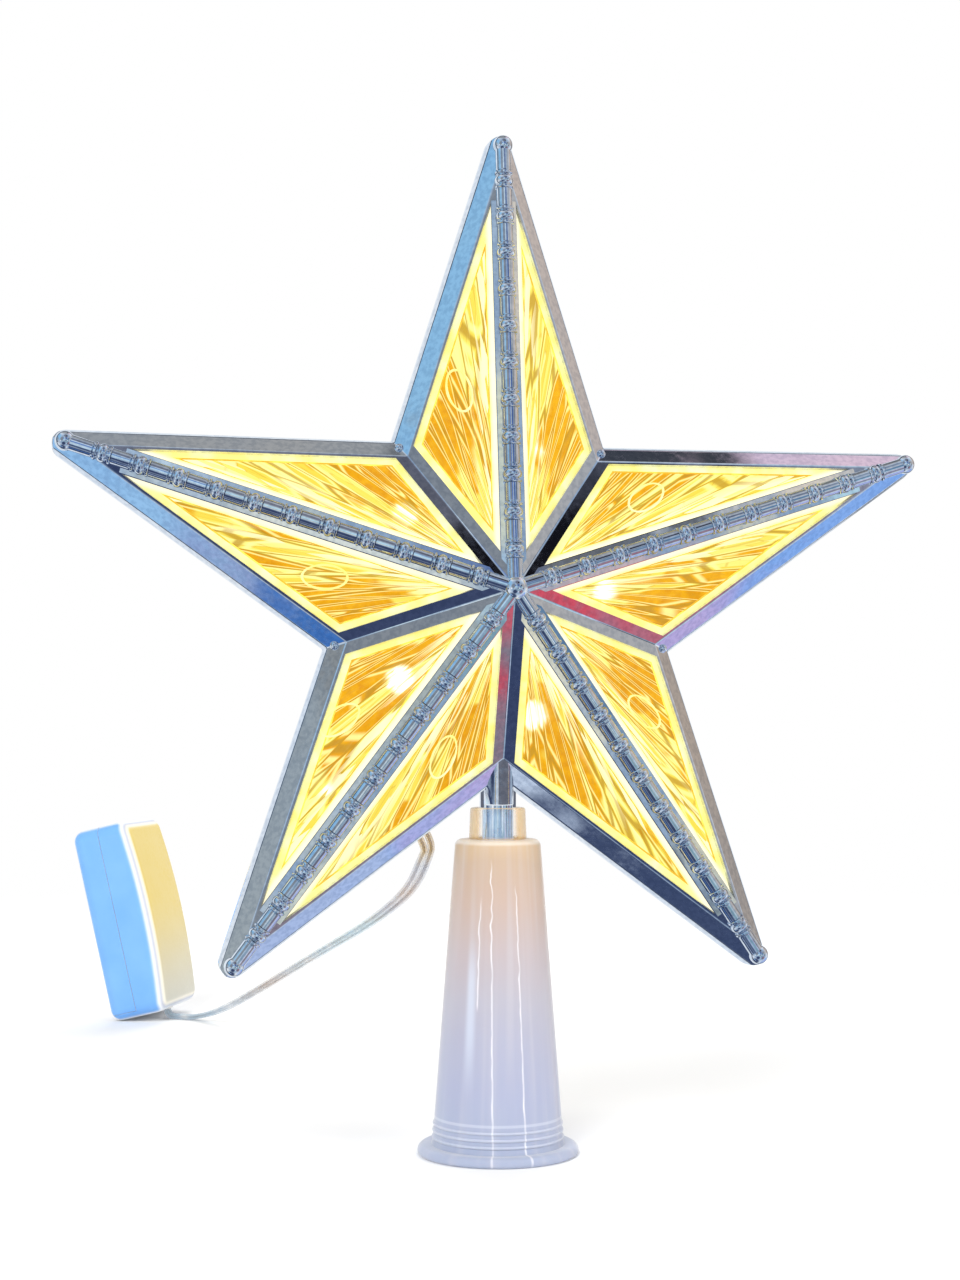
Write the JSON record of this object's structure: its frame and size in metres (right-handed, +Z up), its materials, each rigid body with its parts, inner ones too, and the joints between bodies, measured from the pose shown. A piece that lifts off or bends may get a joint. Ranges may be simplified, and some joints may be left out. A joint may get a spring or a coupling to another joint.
{
  "type": "tree topper star",
  "caption": "Faceted star tree topper with chromed beaded frames, lit amber panes, a translucent slip-over cone base, and a battery box with a sliding lid on a twin lead.",
  "frame": {"origin": "middle of the cone's foot, on the surface that it stands on", "axes": "+Z up along the cone and stem, -Y out of the star's front, +X to the right seen from the front"},
  "size_m": [0.1956, 0.2752, 0.2263],
  "materials": {
    "chrome": "polished chrome plating",
    "amber_pane": "gloss",
    "pin_plastic": "matte",
    "lamp": "gloss",
    "cone_plastic": "gloss",
    "box_plastic": "satin",
    "cell": "satin",
    "contact_metal": "satin",
    "switch_plastic": "matte",
    "grommet": "gloss",
    "lead": "gloss"
  },
  "bodies": {
    "base": {"cone_base": "cone_plastic"},
    "star": {"front_frame": "chrome", "rear_frame": "chrome", "front_pane_1": "amber_pane", "front_pane_2": "amber_pane", "front_pane_3": "amber_pane", "front_pane_4": "amber_pane", "front_pane_5": "amber_pane", "front_pane_6": "amber_pane", "front_pane_7": "amber_pane", "front_pane_8": "amber_pane", "front_pane_9": "amber_pane", "front_pane_10": "amber_pane", "rear_pane_1": "amber_pane", "rear_pane_2": "amber_pane", "rear_pane_3": "amber_pane", "rear_pane_4": "amber_pane", "rear_pane_5": "amber_pane", "rear_pane_6": "amber_pane", "rear_pane_7": "amber_pane", "rear_pane_8": "amber_pane", "rear_pane_9": "amber_pane", "rear_pane_10": "amber_pane", "join_pin_1": "pin_plastic", "join_pin_2": "pin_plastic", "join_pin_3": "pin_plastic", "join_pin_4": "pin_plastic", "join_pin_5": "pin_plastic", "lamp_1": "lamp", "lamp_2": "lamp", "lamp_3": "lamp", "lamp_4": "lamp", "lamp_5": "lamp", "lamp_6": "lamp", "lamp_7": "lamp", "lamp_8": "lamp", "lamp_9": "lamp", "lamp_10": "lamp", "star_grommet": "grommet", "lead_strand_a": "lead", "lead_strand_b": "lead", "case_grommet": "grommet", "battery_case": "box_plastic", "cell_a": "cell", "cell_b": "cell", "contact_plate_a": "contact_metal", "contact_plate_b": "contact_metal", "contact_bridge": "contact_metal", "contact_spring_a": "contact_metal", "contact_spring_b": "contact_metal", "switch_body": "switch_plastic"},
    "battery_lid": {"battery_lid": "box_plastic"},
    "switch_knob": {"switch_knob": "switch_plastic"}
  },
  "joints": [
    {"name": "star_turn", "type": "hinge", "parent": "base", "child": "star", "pos_m": [0, 0, 0.0725], "axis": [0, 0, 1], "continuous": true},
    {"name": "lid_slide", "type": "slide", "parent": "star", "child": "battery_lid", "axis": [-0.2161, 0.0882, 0.9724], "range_m": [0, 0.03]},
    {"name": "switch_slide", "type": "slide", "parent": "star", "child": "switch_knob", "axis": [-0.2161, 0.0882, 0.9724], "range_m": [0, 0.003]}
  ]
}
